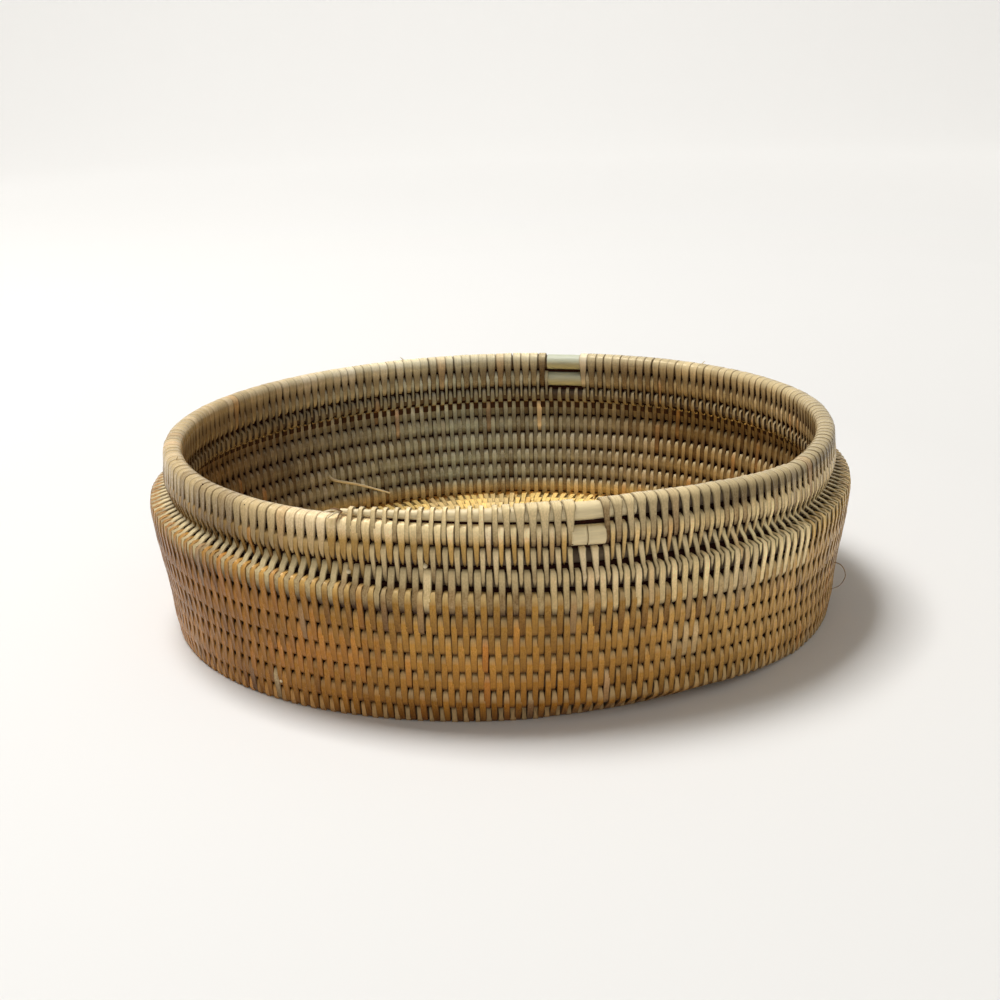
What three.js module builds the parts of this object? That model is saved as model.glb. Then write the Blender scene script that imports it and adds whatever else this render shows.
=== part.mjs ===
import * as THREE from 'three';

// An open trinket basket of coiled rattan. One rod winds in a flat spiral for the floor, then rises as
// courses of the wall, steps inward as a ledge for a lid to rest on, rises again as a collar and tapers to
// an end on the rim. Each turn lies level and moves to the next place in one stretch at the front.
// Lengths are in millimetres, angles in degrees, and +Z is up. Rod sizes include the splint sewn round them.

// Outline of the foot course seen from above
const FOOT_RADIUS = 88.4;
const OVALNESS = 0.066;

// Rod sizes, from the floor up
const FLOOR_ROD = 4.6;
const WALL_RODS = [4.1, 4.7, 4.5, 4.7, 5.1, 5.2, 5.7];
const LEDGE_ROD = 4.3;
const COLLAR_ROD = 5.4;
const RIM_ROD = 5.3;
const TAIL_TIP = 1.4;
const SEAM = 0.45;
// How much thicker the wall's courses are at the two ends of the oval than at its front and back
const END_SWELL = 0.11;

// Way that the wall leans out at its foot and at its top, where the ends lean less, that the collar course
// leans out from the ledge, and that the rim leans in
const FOOT_LEAN = 4;
const SHOULDER_LEAN = 9.5;
const END_SHOULDER_LEAN = 3;
const COLLAR_LEAN = 6.5;
const RIM_LEAN = 4.5;
// Rise of the line from the top wall course to the ledge course inside it, which is flatter at the ends
const LEDGE_RISE = 62;
const END_LEDGE_RISE = 37;

// Stretch at the front in which a turn moves from one place to the next
const CLIMB_MIDDLE = -86;
const CLIMB_HALF = 44;
// The rod's end, past the middle of that stretch, and the length over which the rod thins to its tip
const TAIL_END = 27;
const TAIL_TAPER = 60;

// Splices: each length of rod is one turn long, and its cut lies within this angle before the stretch
const SPLICE_SPREAD = 60;

// Facets: steps in a turn of the wall, and in a floor turn that reaches out to the radius beside it
const WALL_STEPS = 36;
const FLOOR_STEPS = [[12, 12], [30, 18], [60, 24], [Infinity, WALL_STEPS]];

// Radius at which the floor's spiral starts, as a share of its pitch, and a shift that scatters the splices
const START_SHARE = 0.62;
const GOLDEN_SHARE = (Math.sqrt(5) - 1) / 2;
const FULL_TURN = 360;
const TAN_EIGHTH = Math.tan(Math.PI / 8);
const CORNER_REACH = 1 / Math.cos(Math.PI / 8) - 1;
const RIGHT_ANGLE = Math.PI / 2;

// Places that a turn can have, numbered from the foot course, which is 1
const SHOULDER = WALL_RODS.length;
const LEDGE = SHOULDER + 1;
const COLLAR = LEDGE + 1;
const RIM = COLLAR + 1;
const RODS = [...WALL_RODS, LEDGE_ROD, COLLAR_ROD, RIM_ROD];

const half = CLIMB_HALF / FULL_TURN;
const lastTurn = RIM + 1 + TAIL_END / FULL_TURN;
const floorReach = FOOT_RADIUS - (WALL_RODS[0] + SEAM) / 2;
const floorTurns = Math.round(floorReach / (FLOOR_ROD + SEAM) - START_SHARE - 0.5);
const floorPitch = floorReach / (floorTurns + START_SHARE + 0.5);

// Distance from the middle to the outline's tangent line that faces an angle, for a mean of one
function support(angle) {
  return 1 + OVALNESS * Math.cos(2 * angle);
}

function supportSlope(angle) {
  return -2 * OVALNESS * Math.sin(2 * angle);
}

// Angle that the outline faces at a turn: turns run clockwise seen from above
function facing(turn) {
  return THREE.MathUtils.degToRad(CLIMB_MIDDLE - FULL_TURN * turn);
}

// How near a turn is to an end of the oval: 1 at either end, 0 at the front and back
function endShare(turn) {
  return (1 + Math.cos(2 * facing(turn))) / 2;
}

// Place of a turn: a whole number where it lies level, in between while it climbs
function place(turn) {
  const nearest = Math.round(turn);
  return nearest - 1 + THREE.MathUtils.smoothstep(turn, nearest - half, nearest + half);
}

function between(list, position) {
  const low = THREE.MathUtils.clamp(Math.floor(position), 0, list.length - 1);
  const high = Math.min(low + 1, list.length - 1);
  return THREE.MathUtils.lerp(list[low], list[high], THREE.MathUtils.clamp(position - low, 0, 1));
}

// Width and height of the rod's section, with the tail's taper
function rodSize(turn) {
  const at = place(turn);
  const floorWidth = floorPitch * support(facing(turn)) - SEAM;
  if (at <= 0) {
    return { wide: floorWidth, high: FLOOR_ROD };
  }
  if (at < 1) {
    return {
      wide: THREE.MathUtils.lerp(floorWidth, RODS[0], at),
      high: THREE.MathUtils.lerp(FLOOR_ROD, RODS[0], at),
    };
  }
  const onWall = THREE.MathUtils.clamp(at - 1, 0, 1) * THREE.MathUtils.clamp(LEDGE - at, 0, 1);
  const full = between(RODS, at - 1) * (1 + END_SWELL * endShare(turn) * onWall);
  const left = (lastTurn - turn) * 2 * Math.PI * FOOT_RADIUS;
  const size = THREE.MathUtils.lerp(TAIL_TIP, full, THREE.MathUtils.clamp(left / TAIL_TAPER, 0, 1));
  return { wide: size, high: size };
}

// Direction from each place's lower neighbour to the place itself, from level outward to level inward
function riseAt(whole, nearEnd) {
  if (whole <= 1) {
    return 0;
  }
  if (whole < SHOULDER) {
    const share = (whole - 2) / Math.max(SHOULDER - 2, 1);
    return RIGHT_ANGLE - THREE.MathUtils.degToRad(THREE.MathUtils.lerp(FOOT_LEAN, SHOULDER_LEAN, share));
  }
  if (whole === SHOULDER) {
    return RIGHT_ANGLE - THREE.MathUtils.degToRad(THREE.MathUtils.lerp(SHOULDER_LEAN, END_SHOULDER_LEAN, nearEnd));
  }
  if (whole === LEDGE) {
    return Math.PI - THREE.MathUtils.degToRad(THREE.MathUtils.lerp(LEDGE_RISE, END_LEDGE_RISE, nearEnd));
  }
  return RIGHT_ANGLE + THREE.MathUtils.degToRad(whole === COLLAR ? -COLLAR_LEAN : RIM_LEAN);
}

// The same while a turn climbs. Over the foot, the wall's line stays where it is.
function rise(turn) {
  const at = place(turn);
  const whole = Math.floor(at);
  const share = at - whole;
  const upper = riseAt(whole + 1, endShare(turn));
  if (whole === 1) {
    return Math.acos(1 - share * (1 - Math.cos(upper)));
  }
  return THREE.MathUtils.lerp(riseAt(whole, endShare(turn)), upper, share);
}

// Middle of the rod's section: how far out from the foot line, and how high
function seat(turn) {
  const size = rodSize(turn);
  const at = place(turn);
  if (at <= 1) {
    const floorRing = floorPitch * support(facing(turn)) - SEAM;
    const footStep = (floorRing + RODS[0]) / 2 + SEAM;
    const inner = Math.min(at, 0) * (floorRing + SEAM);
    return { out: inner - footStep * (1 - Math.max(at, 0)), high: size.high / 2 };
  }
  const below = seat(turn - 1);
  const angle = rise(turn);
  const corner = 1 + CORNER_REACH * Math.sin(4 * angle) ** 2;
  const reach = SEAM + corner * (size.high + rodSize(turn - 1).high) / 2;
  return { out: below.out + reach * Math.cos(angle), high: below.high + reach * Math.sin(angle) };
}

// Frame of the rod's section at a turn: its middle, the way out and its sizes
function station(turn) {
  const angle = facing(turn);
  const outward = new THREE.Vector3(Math.cos(angle), Math.sin(angle), 0);
  const along = new THREE.Vector3(-outward.y, outward.x, 0);
  const foot = outward.clone().multiplyScalar(FOOT_RADIUS * support(angle));
  foot.addScaledVector(along, FOOT_RADIUS * supportSlope(angle));
  const { out, high } = seat(turn);
  const middle = foot.clone();
  if (place(turn) < 1) {
    middle.multiplyScalar(1 + out / (FOOT_RADIUS * support(angle)));
  } else {
    middle.addScaledVector(outward, out);
  }
  middle.z = high;
  return { middle, outward, ...rodSize(turn) };
}

// Corners of a section for a half width and half height of one, from the outside over the top
const ROUND_SECTION = [
  [1, -TAN_EIGHTH], [1, TAN_EIGHTH], [TAN_EIGHTH, 1], [-TAN_EIGHTH, 1],
  [-1, TAN_EIGHTH], [-1, -TAN_EIGHTH], [-TAN_EIGHTH, -1], [TAN_EIGHTH, -1],
];
const FLOOR_SECTION = [[1, 0], [0.5, 1], [-0.5, 1], [-1, 0], [-0.5, -1], [0.5, -1]];

// Closed tube through the stations, with a flat cap at each end
function tube(stations, section) {
  const sides = section.length;
  const points = [];
  for (const { middle, outward, wide, high } of stations) {
    for (const [x, y] of section) {
      const point = middle.clone().addScaledVector(outward, x * wide / 2);
      points.push(point.x, point.y, point.z + y * high / 2);
    }
  }
  const faces = [];
  for (let ring = 0; ring + 1 < stations.length; ring += 1) {
    for (let side = 0; side < sides; side += 1) {
      const a = ring * sides + side;
      const b = ring * sides + (side + 1) % sides;
      faces.push(a, b, a + sides, b, b + sides, a + sides);
    }
  }
  const last = (stations.length - 1) * sides;
  for (let side = 1; side + 1 < sides; side += 1) {
    faces.push(0, side + 1, side);
    faces.push(last, last + side, last + side + 1);
  }
  const geometry = new THREE.BufferGeometry();
  geometry.setAttribute('position', new THREE.Float32BufferAttribute(points, 3));
  geometry.setIndex(faces);
  geometry.computeVertexNormals();
  return geometry;
}

// Turns at which the stations of one length of rod stand, a half seam short of each cut end
function stationTurns(from, to, steps) {
  const radius = station((from + to) / 2).middle.length();
  const trim = SEAM / 2 / (2 * Math.PI * radius);
  const turns = [from + trim];
  for (let step = Math.floor(from * steps) + 1; step < to * steps - 0.01; step += 1) {
    if (step / steps > from + 2 * trim) {
      turns.push(step / steps);
    }
  }
  turns.push(to - trim);
  return turns;
}

function rattan(color, roughness) {
  return new THREE.MeshStandardMaterial({ color, roughness, metalness: 0 });
}

function rodLength(name, from, to, steps, section, material) {
  const stations = stationTurns(from, to, steps).map(station);
  const mesh = new THREE.Mesh(tube(stations, section), material);
  mesh.name = name;
  return mesh;
}

// Turn at which the rod that comes to lie in a place starts: midway between two stations
function splice(at) {
  const scatter = THREE.MathUtils.euclideanModulo(at * GOLDEN_SHARE, 1) * SPLICE_SPREAD / FULL_TURN;
  return (Math.floor((at - half - scatter) * WALL_STEPS) + 0.5) / WALL_STEPS;
}

function floorCoil() {
  const turns = [];
  for (let number = 1; number <= floorTurns; number += 1) {
    const at = number - floorTurns;
    const outerRadius = floorPitch * (number + START_SHARE);
    const steps = FLOOR_STEPS.find(([radius]) => outerRadius <= radius)[1];
    const name = `floor_turn_${String(number).padStart(2, '0')}`;
    turns.push(rodLength(name, splice(at), splice(at + 1), steps, FLOOR_SECTION, rattan(0xc08a3e, 0.6)));
  }
  return turns;
}

function course(name, at, material) {
  const to = at > RIM ? lastTurn : splice(at + 1);
  return rodLength(name, splice(at), to, WALL_STEPS, ROUND_SECTION, material);
}

function wallCoil() {
  return WALL_RODS.map((_, index) => course(`wall_course_${index + 1}`, index + 1, rattan(0xb98548, 0.55)));
}

function topCoil() {
  return [
    course('ledge_course', LEDGE, rattan(0xc49a5c, 0.5)),
    course('collar_course', COLLAR, rattan(0xc0935a, 0.5)),
    course('rim_course', RIM, rattan(0xcaa871, 0.5)),
    course('rim_tail', RIM + 1, rattan(0xd8c494, 0.6)),
  ];
}

// Least gap between the sections of neighbouring turns, measured from corners to sides
function leastGap() {
  const corners = (turn, section) => {
    const { wide, high } = rodSize(turn);
    const middle = seat(turn);
    return section.map(([x, y]) => new THREE.Vector3(middle.out + x * wide / 2, middle.high + y * high / 2, 0));
  };
  const nearest = (from, to) => {
    const side = new THREE.Line3();
    const foot = new THREE.Vector3();
    const gaps = from.flatMap((point) => to.map((corner, index) => {
      side.set(corner, to[(index + 1) % to.length]);
      return side.closestPointToPoint(point, true, foot).distanceTo(point);
    }));
    return Math.min(...gaps);
  };
  let least = Infinity;
  for (let turn = 1; turn <= lastTurn; turn += 1 / WALL_STEPS) {
    const upper = corners(turn, ROUND_SECTION);
    const lower = corners(turn - 1, turn < 2 - half ? FLOOR_SECTION : ROUND_SECTION);
    least = Math.min(least, nearest(upper, lower), nearest(lower, upper));
  }
  return least;
}

const basket = new THREE.Group();
const coil = new THREE.Group();
coil.add(...floorCoil(), ...wallCoil(), ...topCoil());
basket.add(coil);

// The origin is under the middle of the basket's box
const middle = new THREE.Box3().setFromObject(coil).getCenter(new THREE.Vector3());
coil.position.set(-middle.x, -middle.y, 0);

console.log(`Least gap between neighbouring turns: ${leastGap().toFixed(2)} mm`);

export default basket;
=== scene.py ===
"""Open trinket basket of coiled rattan: the rod's turns, the splints sewn round them, and the stage.

Laid out as an add-on and run as a script. Lengths are in metres, angles in radians.
"""
import math

import bpy
import numpy as np
from bpy.props import FloatProperty, FloatVectorProperty, IntProperty, PointerProperty
from mathutils import Matrix, Vector


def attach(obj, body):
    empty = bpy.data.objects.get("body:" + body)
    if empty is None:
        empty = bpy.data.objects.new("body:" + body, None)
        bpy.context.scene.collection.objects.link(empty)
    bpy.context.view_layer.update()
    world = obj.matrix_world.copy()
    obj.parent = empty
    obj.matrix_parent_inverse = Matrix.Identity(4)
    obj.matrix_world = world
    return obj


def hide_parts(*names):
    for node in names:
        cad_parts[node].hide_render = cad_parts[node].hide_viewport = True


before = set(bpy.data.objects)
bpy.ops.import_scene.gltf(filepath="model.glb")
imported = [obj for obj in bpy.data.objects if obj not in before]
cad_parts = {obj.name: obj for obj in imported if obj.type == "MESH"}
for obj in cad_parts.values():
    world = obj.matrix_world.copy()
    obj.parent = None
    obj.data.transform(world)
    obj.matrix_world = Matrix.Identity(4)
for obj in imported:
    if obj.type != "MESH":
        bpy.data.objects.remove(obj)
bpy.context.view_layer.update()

bl_info = {
    "name": "Coiled Rattan Trinket Basket",
    "version": (1, 0, 0),
    "blender": (4, 5, 0),
    "location": "View3D > Sidebar > Basket",
    "description": "Builds an open oval basket of coiled rattan, stitch by stitch",
    "category": "Add Mesh",
}

MM = 0.001
SHOULDER, LEDGE, COLLAR, RIM = 7, 8, 9, 10


# Settings

def length(name, description, default):
    return FloatProperty(name=name, description=description, default=default, subtype="DISTANCE", unit="LENGTH",
                         precision=5)


def angle(name, description, degrees):
    return FloatProperty(name=name, description=description, default=math.radians(degrees), subtype="ANGLE",
                         unit="ROTATION")


def share(name, description, default, **more):
    return FloatProperty(name=name, description=description, default=default, **more)


def colour(name, description, default):
    return FloatVectorProperty(name=name, description=description, default=default, subtype="COLOR", size=3,
                               min=0.0, max=1.0)


class CoilSizes(bpy.types.PropertyGroup):
    """Sizes of the coil, with the splints that are sewn round the rod"""
    foot_radius: length("Foot Radius", "Mean radius of the foot course's middle", 88.4 * MM)
    ovalness: share("Ovalness", "Share of the radius that is added at the ends and taken off at front and back", 0.066)
    floor_rod: length("Floor Rod", "Height of the floor's turns", 4.6 * MM)
    wall_rods: FloatVectorProperty(name="Wall Rods", description="Sizes of the wall's courses, from the foot up",
                                   size=7, default=[s * MM for s in (4.1, 4.7, 4.5, 4.7, 5.1, 5.2, 5.7)],
                                   subtype="NONE", unit="LENGTH")
    ledge_rod: length("Ledge Rod", "Size of the ledge course", 4.3 * MM)
    collar_rod: length("Collar Rod", "Size of the collar course", 5.4 * MM)
    rim_rod: length("Rim Rod", "Size of the rim course", 5.3 * MM)
    tail_tip: length("Tail Tip", "Size of the rod's tapered end", 1.4 * MM)
    seam: length("Seam", "Room between neighbouring turns", 0.45 * MM)
    end_swell: share("End Swell", "How much thicker the wall's courses are at the oval's ends", 0.11)
    foot_lean: angle("Foot Lean", "Way that the wall leans out at its foot", 4)
    shoulder_lean: angle("Shoulder Lean", "Way that the wall leans out at its top", 9.5)
    end_shoulder_lean: angle("End Shoulder Lean", "The same at the oval's ends", 3)
    collar_lean: angle("Collar Lean", "Way that the collar course leans out", 6.5)
    rim_lean: angle("Rim Lean", "Way that the rim leans in", 4.5)
    ledge_rise: angle("Ledge Rise", "Rise of the line from the shoulder to the ledge course", 62)
    end_ledge_rise: angle("End Ledge Rise", "The same at the oval's ends", 37)
    climb_middle: angle("Climb Middle", "Middle of the stretch in which a turn climbs", -86)
    climb_half: angle("Climb Half", "Half of the stretch in which a turn climbs", 44)
    tail_end: angle("Tail End", "Where the rod ends, past the middle of its climb", 27)
    tail_taper: length("Tail Taper", "Length over which the rod thins to its tip", 60 * MM)
    floor_turns: IntProperty(name="Floor Turns", description="Turns of the floor's spiral", default=16, min=2)
    start_share: share("Start Share", "Radius at which the floor's spiral starts, in turns", 0.62)
    box_shift: length("Box Shift", "From the outline's middle to the middle of the box, along Y", -0.208 * MM)


class SplintSizes(bpy.types.PropertyGroup):
    """Sizes of the split rattan that sews the turns together"""
    stitches: IntProperty(name="Stitches", description="Whole stitches in each turn of the wall; with half a stitch "
                          "more, the rows alternate", default=191, min=12)
    width: length("Splint Width", "Width of a splint over its own turn", 1.72 * MM)
    tie_width: length("Tie Width", "Width of a splint over the turn below", 1.66 * MM)
    rim_width: length("Rim Splint Width", "Width of a splint over the rim", 2.90 * MM)
    squareness: share("Squareness", "Roundness of the wall's turns in section: 2 is round, more is squarer", 5.2,
                      min=2.0, max=8.0)
    thickness: length("Splint Thickness", "Thickness of a splint", 0.38 * MM)
    slant: length("Slant", "How far a stitch of the wall moves along the coil on its way down", 0.15 * MM)
    rim_slant: length("Rim Slant", "How far a stitch of the rim and collar moves along on its way down", -0.05 * MM)
    unevenness: share("Unevenness", "How much the stitches differ", 1.0, min=0.0, max=3.0)
    seed: IntProperty(name="Seed", description="Picks the scatter of widths, places and tones", default=7)


class RattanColours(bpy.types.PropertyGroup):
    """Colours of the splints and the rod"""
    wall: colour("Wall Splint", "Honey brown of the wall's splints", (0.41, 0.22, 0.045))
    # Painted light and shade: the wall is painted paler on the right, where more light falls, and darker and deeper on
    # the left, where it lies in shade
    wall_right: colour("Wall Splint Right", "Paler brown of the wall's splints on the right", (0.50, 0.31, 0.10))
    wall_left: colour("Wall Splint Left", "Golden brown of the wall's splints on the left", (0.215, 0.078, 0.002))
    # Painted shade and light: the wall turns darker orange towards the foot and golden near the top, as the light falls
    # from above
    foot: colour("Foot Splint", "Orange brown that the wall's splints turn to near the foot", (0.35, 0.15, 0.022))
    shoulder: colour("Shoulder Splint", "Gold that the wall's splints turn to near the top", (0.72, 0.44, 0.08))
    rim: colour("Rim Splint", "Straw of the collar's and rim's splints", (0.52, 0.315, 0.095))
    # Painted light: the ledge's outside faces up to the light and is painted paler
    ledge: colour("Ledge", "Pale straw that the ledge's splints turn to outside", (1.0, 0.88, 0.52))
    rim_top: colour("Rim Top", "Straw that the rim's splints turn to", (0.82, 0.66, 0.38))
    rim_back: colour("Rim Back", "Bleached straw that the rim turns to at the back", (1.0, 0.90, 0.62))
    rim_left: colour("Rim Left", "Brown that the rim and collar turn to on the left", (0.165, 0.086, 0.012))
    rim_right: colour("Rim Right", "Grey brown that the rim turns to on the right", (0.17, 0.12, 0.055))
    collar_right: colour("Collar Right", "Straw that the collar turns to on the right", (0.95, 0.76, 0.42))
    # Painted light: the floor's splints are painted bright golden at the back, where the light inside is weak, and
    # browner towards the front
    floor: colour("Floor Splint", "Golden brown of the floor's splints", (1.0, 0.72, 0.27))
    floor_front: colour("Floor Front", "Browner tone that the floor turns to away from the back", (0.58, 0.37, 0.14))
    # Painted sheen: this grey stands for light reflected off the back's inner side
    inside: colour("Inside", "Grey of the splints on the back's inner side", (0.45, 0.56, 0.56))
    inside_ends: colour("Inside Ends", "Brown of the splints on the inner sides at the ends", (0.30, 0.22, 0.11))
    # Partly painted sheen: besides the palest splints, this paints the gloss on the fronts of the ledge and collar
    bleach_and_sheen: colour("Bleached Splint", "Greyish straw of the palest splints", (0.62, 0.49, 0.29))
    rusty: colour("Rusty Splint", "Rust brown of the stained splints", (0.46, 0.17, 0.03))
    russet: colour("Russet Splint", "Red brown of one stitch in thirty or so", (0.50, 0.19, 0.035))
    dull: colour("Dull Splint", "Grey brown of one stitch in thirty or so", (0.36, 0.29, 0.22))
    rod: colour("Bare Rod", "Cream of the peeled rod", (0.86, 0.70, 0.40))
    weathered_rod: colour("Weathered Rod", "Grey green of the rod that is bare at the back", (0.60, 0.62, 0.46))
    pale_strand: colour("Pale Strand", "Straw of the loose splint ends and knots", (0.82, 0.68, 0.42))
    brown_strand: colour("Brown Strand", "Brown of the loose fibres", (0.26, 0.14, 0.05))
    # Painted shade, together with the dirt and age of the seams: the colour that seams, gaps, covered rod and shaded
    # parts are painted with
    hollow: colour("Seam Shade", "Dark brown of the dust and age in the seams", (0.030, 0.009, 0.006))


class StageSettings(bpy.types.PropertyGroup):
    """Floor, lamps and camera"""
    floor: colour("Floor", "Colour of the floor and its curve up behind", (0.80, 0.79, 0.77))
    glow: share("Floor Glow", "Strength of the far floor's glow, which only the camera sees", 0.5)
    backdrop: colour("Backdrop", "Colour that the camera sees past the floor", (0.98, 0.97, 0.95))
    backdrop_strength: share("Backdrop Strength", "How bright the backdrop looks, where 1 is white", 0.88)
    key: share("Key Lamp", "Power of the lamp overhead, in watts", 14.0)
    fill: share("Fill Lamp", "Power of the lamp at the front, in watts", 1.8)
    sky: share("Surroundings", "Strength of the even light from all round", 0.29)
    sky_colour: colour("Surroundings Colour", "Colour of the even light from all round", (1.0, 0.96, 0.89))
    lens: FloatProperty(name="Lens", description="Focal length on a sensor 36 mm wide", default=54.451,
                        subtype="DISTANCE_CAMERA")
    distance: length("Camera Distance", "From the camera to the point that it looks at", 0.4464)
    elevation: angle("Camera Elevation", "Height of the camera over the floor, as an angle", 19.248)
    azimuth: angle("Camera Azimuth", "How far the camera stands round to the left of the front", 1.502)
    roll: angle("Camera Roll", "Turn of the camera about its own axis", 1.829)
    look_at: FloatVectorProperty(name="Look At", description="Point that the camera looks at", size=3,
                                 default=(-0.000328, 0.0000086, 0.029661), subtype="TRANSLATION", unit="LENGTH")


# Path of the rod

def smooth(x):
    x = np.clip(x, 0, 1)
    return x * x * (3 - 2 * x)


def fade(x, start, span):
    """0 up to the start and 1 past the span, with a soft step between."""
    return smooth((x - start) / span)


class Coil:
    """Path and size of the rod by its turn, from the middle of the floor to the tip of the tail."""

    def __init__(self, sizes):
        self.sizes = sizes
        self.half = sizes.climb_half / math.tau
        self.rods = np.array([*sizes.wall_rods, sizes.ledge_rod, sizes.collar_rod, sizes.rim_rod])
        reach = sizes.foot_radius - (self.rods[0] + sizes.seam) / 2
        self.floor_pitch = reach / (sizes.floor_turns + sizes.start_share + 0.5)
        self.last = RIM + 1 + sizes.tail_end / math.tau
        self.first = 1 - sizes.floor_turns - self.half - 0.05
        walls = [math.pi / 2 - (sizes.foot_lean + (sizes.shoulder_lean - sizes.foot_lean) * (k - 2) / (SHOULDER - 2))
                 for k in range(2, SHOULDER + 1)]
        inward = math.pi / 2 + sizes.rim_lean
        self.rises = np.array([0, 0, *walls, math.pi - sizes.ledge_rise, math.pi / 2 - sizes.collar_lean,
                               inward, inward, inward])
        self.end_rises = np.zeros_like(self.rises)
        self.end_rises[SHOULDER] = sizes.shoulder_lean - sizes.end_shoulder_lean
        self.end_rises[LEDGE] = sizes.ledge_rise - sizes.end_ledge_rise

    def facing(self, turn):
        return self.sizes.climb_middle - math.tau * turn

    def support(self, turn):
        return 1 + self.sizes.ovalness * np.cos(2 * self.facing(turn))

    def end_share(self, turn):
        """1 at either end of the oval, 0 at its front and back."""
        return (1 + np.cos(2 * self.facing(turn))) / 2

    def place(self, turn):
        nearest = np.floor(turn + 0.5)
        return nearest - 1 + smooth((turn - nearest + self.half) / (2 * self.half))

    def rod(self, turn):
        at = self.place(turn)
        swollen = np.clip(at - 1, 0, 1) * np.clip(LEDGE - at, 0, 1) * self.sizes.end_swell * self.end_share(turn)
        on_wall = np.interp(at, np.arange(1, RIM + 1), self.rods) * (1 + swollen)
        left = (self.last - turn) * math.tau * self.sizes.foot_radius / self.sizes.tail_taper
        on_wall = self.sizes.tail_tip + (on_wall - self.sizes.tail_tip) * np.clip(left, 0, 1)
        share_up = np.clip(at, 0, 1)
        return np.where(at >= 1, on_wall, self.sizes.floor_rod + (self.rods[0] - self.sizes.floor_rod) * share_up)

    def rise(self, turn):
        at = self.place(turn)
        whole = np.clip(np.floor(at).astype(int), 0, len(self.rises) - 2)
        part = at - whole
        end = self.end_share(turn)
        low = self.rises[whole] + self.end_rises[whole] * end
        high = self.rises[whole + 1] + self.end_rises[whole + 1] * end
        over_foot = np.arccos(np.clip(1 - part * (1 - math.cos(self.rises[2])), -1, 1))
        return np.where(whole == 1, over_foot, low + (high - low) * part)

    def seat(self, turn):
        """How far out from the foot line the rod's middle is, and how high."""
        turn = np.asarray(turn, float)
        size, at = self.rod(turn), self.place(turn)
        ring = self.floor_pitch * self.support(turn)
        step = (ring - self.sizes.seam + self.rods[0]) / 2 + self.sizes.seam
        out = np.minimum(at, 0) * ring - step * (1 - np.clip(at, 0, 1))
        high = size / 2
        climbed = at > 1
        if climbed.any():
            upper = turn[climbed]
            below_out, below_high = self.seat(upper - 1)
            way = self.rise(upper)
            # The solids are eight-sided there, and reach further out at their corners
            corner = 1 + (1 / math.cos(math.pi / 8) - 1) * np.sin(4 * way) ** 2
            reach = self.sizes.seam + corner * (size[climbed] + self.rod(upper - 1)) / 2
            out[climbed] = below_out + reach * np.cos(way)
            high = high.copy()
            high[climbed] = below_high + reach * np.sin(way)
        return out, high

    def station(self, turn):
        """Middle of the rod's section and the way out from it."""
        turn = np.asarray(turn, float)
        way = self.facing(turn)
        outward = np.stack([np.cos(way), np.sin(way), np.zeros_like(way)], 1)
        along = np.stack([-outward[:, 1], outward[:, 0], np.zeros_like(way)], 1)
        radius = self.sizes.foot_radius
        slope = -2 * self.sizes.ovalness * np.sin(2 * way)
        foot = outward * (radius * self.support(turn))[:, None] + along * (radius * slope)[:, None]
        out, high = self.seat(turn)
        drawn_in = foot * (1 + out / (radius * self.support(turn)))[:, None]
        middle = np.where((self.place(turn) < 1)[:, None], drawn_in, foot + outward * out[:, None])
        middle[:, 1] += self.sizes.box_shift
        middle[:, 2] = high
        return middle, outward

    def lengths(self, turns):
        middle, _ = self.station(turns)
        return np.concatenate([[0], np.cumsum(np.linalg.norm(np.diff(middle, axis=0), axis=1))])


def arc_share(coil, turn):
    """The turn, stretched so that it goes evenly with the length along the oval."""
    return turn + 3 * coil.sizes.ovalness * np.sin(2 * coil.facing(turn)) / (2 * math.tau)


def floor_stitches(coil, pitch, end):
    """Stitches of the spiral: each sits between two of the turn below, with one more where the coil has widened."""
    table = np.linspace(coil.first, end + 0.1, 12000)
    run = coil.lengths(table)
    seeds = 9
    turns = [coil.first + (k + 0.5) / seeds for k in range(seeds + 1)]
    owed, at = 0.0, 0
    while turns[-1] < end:
        low, high = turns[at] + 1, turns[at + 1] + 1
        owed += np.interp(high, table, run) - np.interp(low, table, run) - pitch
        if owed >= pitch:
            turns += [low + (high - low) * 0.25, low + (high - low) * 0.75]
            owed -= pitch
        else:
            turns.append((low + high) / 2)
        at += 1
    return [t for t in turns if t < end]


def stitch_turns(coil, stitches):
    """Turns at which the stitches stand, from the middle of the floor to the tail."""
    start, count = 1 - coil.half, stitches + 0.5
    table = np.linspace(start - 0.02, coil.last, 9000)
    whole = np.arange(math.ceil(arc_share(coil, np.array([start]))[0] * count), int(coil.last * count) + 9)
    wall = np.interp(whole / count, arc_share(coil, table), table)
    pitch = math.tau * coil.sizes.foot_radius / count
    floor = floor_stitches(coil, pitch, start - 0.4 / count)
    return np.array([*floor, *[t for t in wall if t < coil.last - 0.003]])


# Node trees

class Field:
    """A number or direction that flows through a node tree, with ordinary arithmetic."""

    def __init__(self, tree, socket):
        self.tree, self.socket = tree, socket

    def math(self, operation, *others):
        node = self.tree.nodes.new("ShaderNodeMath")
        node.operation = operation
        for socket, value in zip(node.inputs, (self, *others)):
            feed(self.tree, socket, value)
        return Field(self.tree, node.outputs[0])

    def __add__(self, other):
        return self.math("ADD", other)

    def __sub__(self, other):
        return self.math("SUBTRACT", other)

    def __mul__(self, other):
        return self.math("MULTIPLY", other)

    def __truediv__(self, other):
        return self.math("DIVIDE", other)

    def __neg__(self):
        return self.math("MULTIPLY", -1.0)

    __radd__, __rmul__ = __add__, __mul__

    def __rsub__(self, other):
        return -self + other

    def __rtruediv__(self, other):
        return self.math("POWER", -1.0) * other

    def clamped(self):
        return self.math("MAXIMUM", 0.0).math("MINIMUM", 1.0)

    def cos(self):
        return self.math("COSINE")

    def sin(self):
        return self.math("SINE")

    def abs(self):
        return self.math("ABSOLUTE")

    def power(self, exponent):
        return self.math("POWER", exponent)

    def above(self, limit):
        return self.math("GREATER_THAN", limit)


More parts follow.
